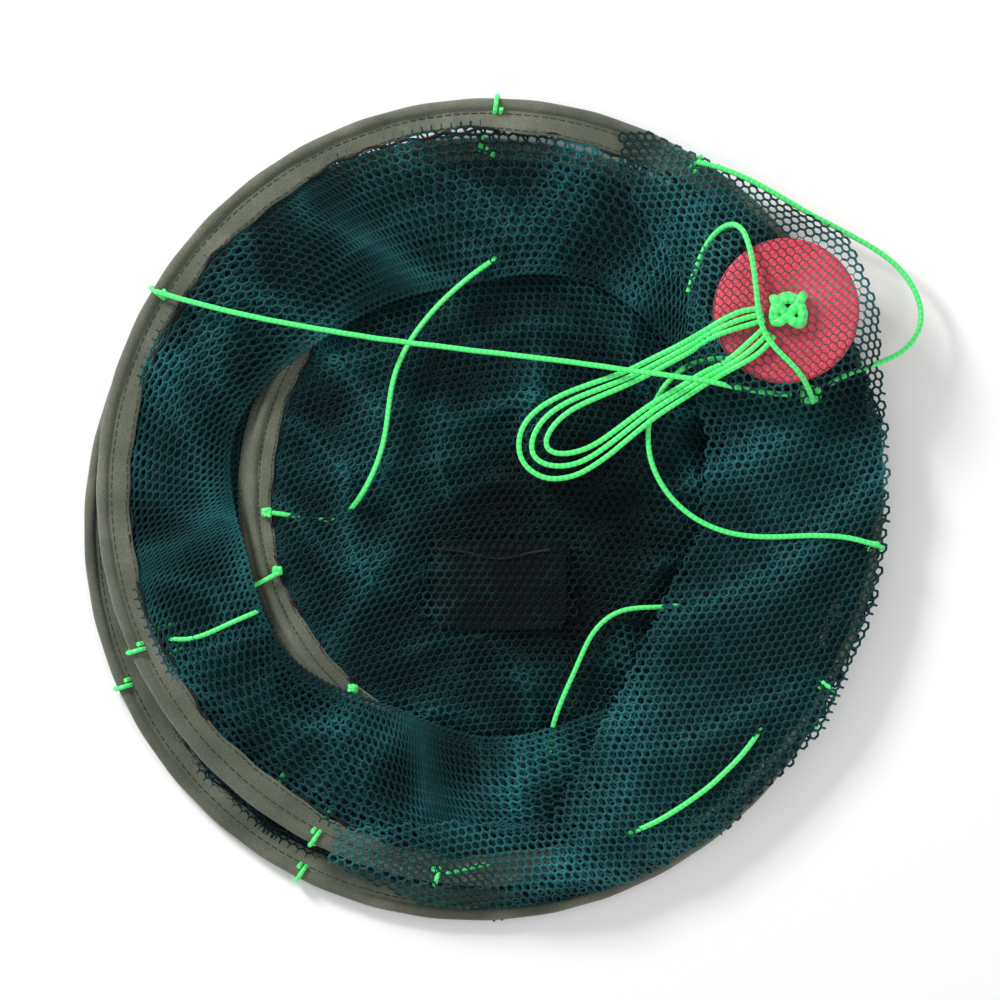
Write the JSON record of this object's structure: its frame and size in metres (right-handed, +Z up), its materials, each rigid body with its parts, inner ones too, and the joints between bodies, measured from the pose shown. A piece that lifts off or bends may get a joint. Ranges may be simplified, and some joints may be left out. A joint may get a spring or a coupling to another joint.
{
  "type": "folding crab trap",
  "caption": "Folding net crab trap with two large wire hoops, a smaller floor hoop, a rope bridle and a foam float, folded flat.",
  "frame": {"origin": "centre of the floor hoop, on the ground under the floor net", "axes": "+Z up, out of the trap's mouth; +X towards the float's side of the folded trap; +Y towards the back"},
  "size_m": [0.6473, 0.6364, 0.0752],
  "materials": {
    "hoop_tape": "matte",
    "net": "matte",
    "pouch_net": "matte",
    "cord": "satin",
    "spring_wire": "satin",
    "crimp_sleeve": "satin",
    "float_foam": "matte"
  },
  "bodies": {
    "base": {"floor_hoop_wire": "spring_wire", "floor_hoop_ferrule": "crimp_sleeve", "floor_hoop_cover": "hoop_tape", "floor_net": "net", "lower_wall_net": "net", "floor_stay_knots": "cord", "lower_stay_1": "cord", "lower_stay_2": "cord", "lower_stay_3": "cord", "lower_stay_4": "cord"},
    "bait": {"bait_pouch": "pouch_net", "bait_pouch_drawcord": "cord"},
    "middle": {"middle_hoop_wire": "spring_wire", "middle_hoop_ferrule": "crimp_sleeve", "middle_hoop_cover": "hoop_tape", "middle_stay_hitches": "cord", "upper_wall_net": "net", "upper_stay_1": "cord", "upper_stay_2": "cord", "upper_stay_3": "cord", "upper_stay_4": "cord"},
    "rim": {"rim_hoop_wire": "spring_wire", "rim_hoop_ferrule": "crimp_sleeve", "rim_hoop_cover": "hoop_tape", "rim_stay_hitches": "cord", "rim_bridle_hitches": "cord", "throat_net": "net", "bridle_cord_1": "cord", "bridle_cord_2": "cord", "bridle_cord_3": "cord", "bridle_cord_4": "cord"},
    "haul": {"gather_knot": "cord", "haul_line": "cord", "haul_line_hank": "cord", "float_end_knots": "cord"},
    "float": {"float": "float_foam"}
  },
  "joints": [
    {"name": "middle_lift", "type": "slide", "parent": "base", "child": "middle", "axis": [0.2625, 0.175, 0.9489], "range_m": [0, 0.1543], "deforming": ["lower_wall_net", "lower_stay_1", "lower_stay_2", "lower_stay_3", "lower_stay_4"]},
    {"name": "rim_lift", "type": "slide", "parent": "middle", "child": "rim", "axis": [-0.0691, -0.1712, 0.9828], "range_m": [0, 0.1665], "deforming": ["upper_wall_net", "upper_stay_1", "upper_stay_2", "upper_stay_3", "upper_stay_4"]},
    {"name": "haul", "type": "slide", "parent": "rim", "child": "haul", "axis": [-0.5251, -0.1597, 0.8359], "range_m": [0, 0.4666], "deforming": ["bridle_cord_1", "bridle_cord_2", "bridle_cord_3", "bridle_cord_4"]},
    {"name": "float_spin", "type": "hinge", "parent": "haul", "child": "float", "pos_m": [0.196, 0.139, 0.0465], "axis": [0, 0, 1], "continuous": true},
    {"name": "bait_pouch_lift", "type": "hinge", "parent": "base", "child": "bait", "pos_m": [-0.022, -0.105, 0.0014], "axis": [1, 0, 0], "range_deg": [0, 40]}
  ]
}
